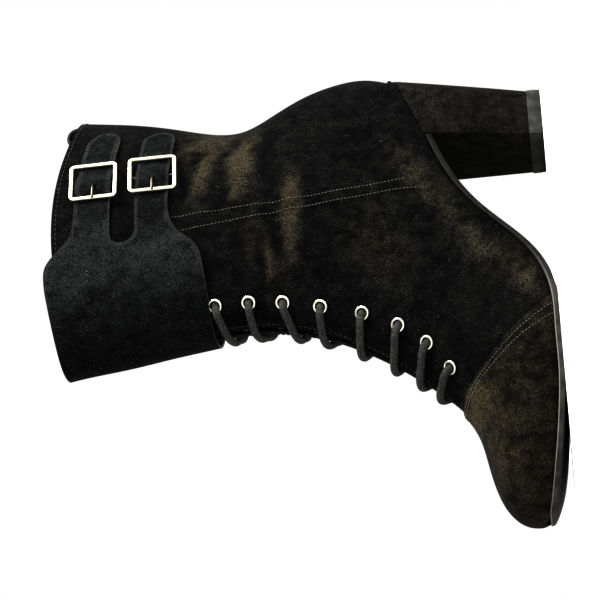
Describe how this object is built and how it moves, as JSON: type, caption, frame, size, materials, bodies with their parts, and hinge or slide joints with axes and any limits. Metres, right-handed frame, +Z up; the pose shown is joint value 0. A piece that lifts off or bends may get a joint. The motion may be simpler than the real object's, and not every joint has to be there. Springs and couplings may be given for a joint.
{
  "type": "victorian lace up boot",
  "caption": "Left ankle boot in black suede with a block heel, front lacing through metal eyelets, a seamed toe cap and a wrapped cuff with two buckled straps.",
  "frame": {"origin": "centre of the heel's ground face, on the floor", "axes": "+X to the wearer's left, the outer side of this left boot; -Y toward the toe; +Z up"},
  "size_m": [0.0896, 0.2504, 0.2616],
  "materials": {
    "suede": "black suede, matt, short nap",
    "warm_suede": "black suede with a warm brown cast, matt",
    "cuff_suede": "finer black suede with a cool cast, matt",
    "lining": "dark textile lining, matt",
    "sole_rubber": "dull grey brown edge",
    "lift_rubber": "dull grey",
    "lace_cord": "round dark grey cord",
    "silver_metal": "polished pale silver"
  },
  "bodies": {
    "root": {"upper": "suede", "toe_cap": "warm_suede", "tongue": "lining", "insole": "lining", "outsole": "sole_rubber", "heel": "suede", "top_lift": "lift_rubber", "cuff": "cuff_suede", "upper_buckle": "silver_metal", "lower_buckle": "silver_metal", "upper_prong": "silver_metal", "lower_prong": "silver_metal", "upper_chape": "cuff_suede", "lower_chape": "cuff_suede", "pull_tab": "suede", "outer_eyelet_1": "silver_metal", "outer_eyelet_2": "silver_metal", "outer_eyelet_3": "silver_metal", "outer_eyelet_4": "silver_metal", "outer_eyelet_5": "silver_metal", "outer_eyelet_6": "silver_metal", "outer_eyelet_7": "silver_metal", "outer_eyelet_8": "silver_metal", "inner_eyelet_1": "silver_metal", "inner_eyelet_2": "silver_metal", "inner_eyelet_3": "silver_metal", "inner_eyelet_4": "silver_metal", "inner_eyelet_5": "silver_metal", "inner_eyelet_6": "silver_metal", "inner_eyelet_7": "silver_metal", "inner_eyelet_8": "silver_metal", "lace_bar_1": "lace_cord", "lace_bar_2": "lace_cord", "lace_bar_3": "lace_cord", "lace_bar_4": "lace_cord", "lace_bar_5": "lace_cord", "lace_bar_6": "lace_cord", "lace_bar_7": "lace_cord", "lace_bar_8": "lace_cord"}
  },
  "joints": []
}
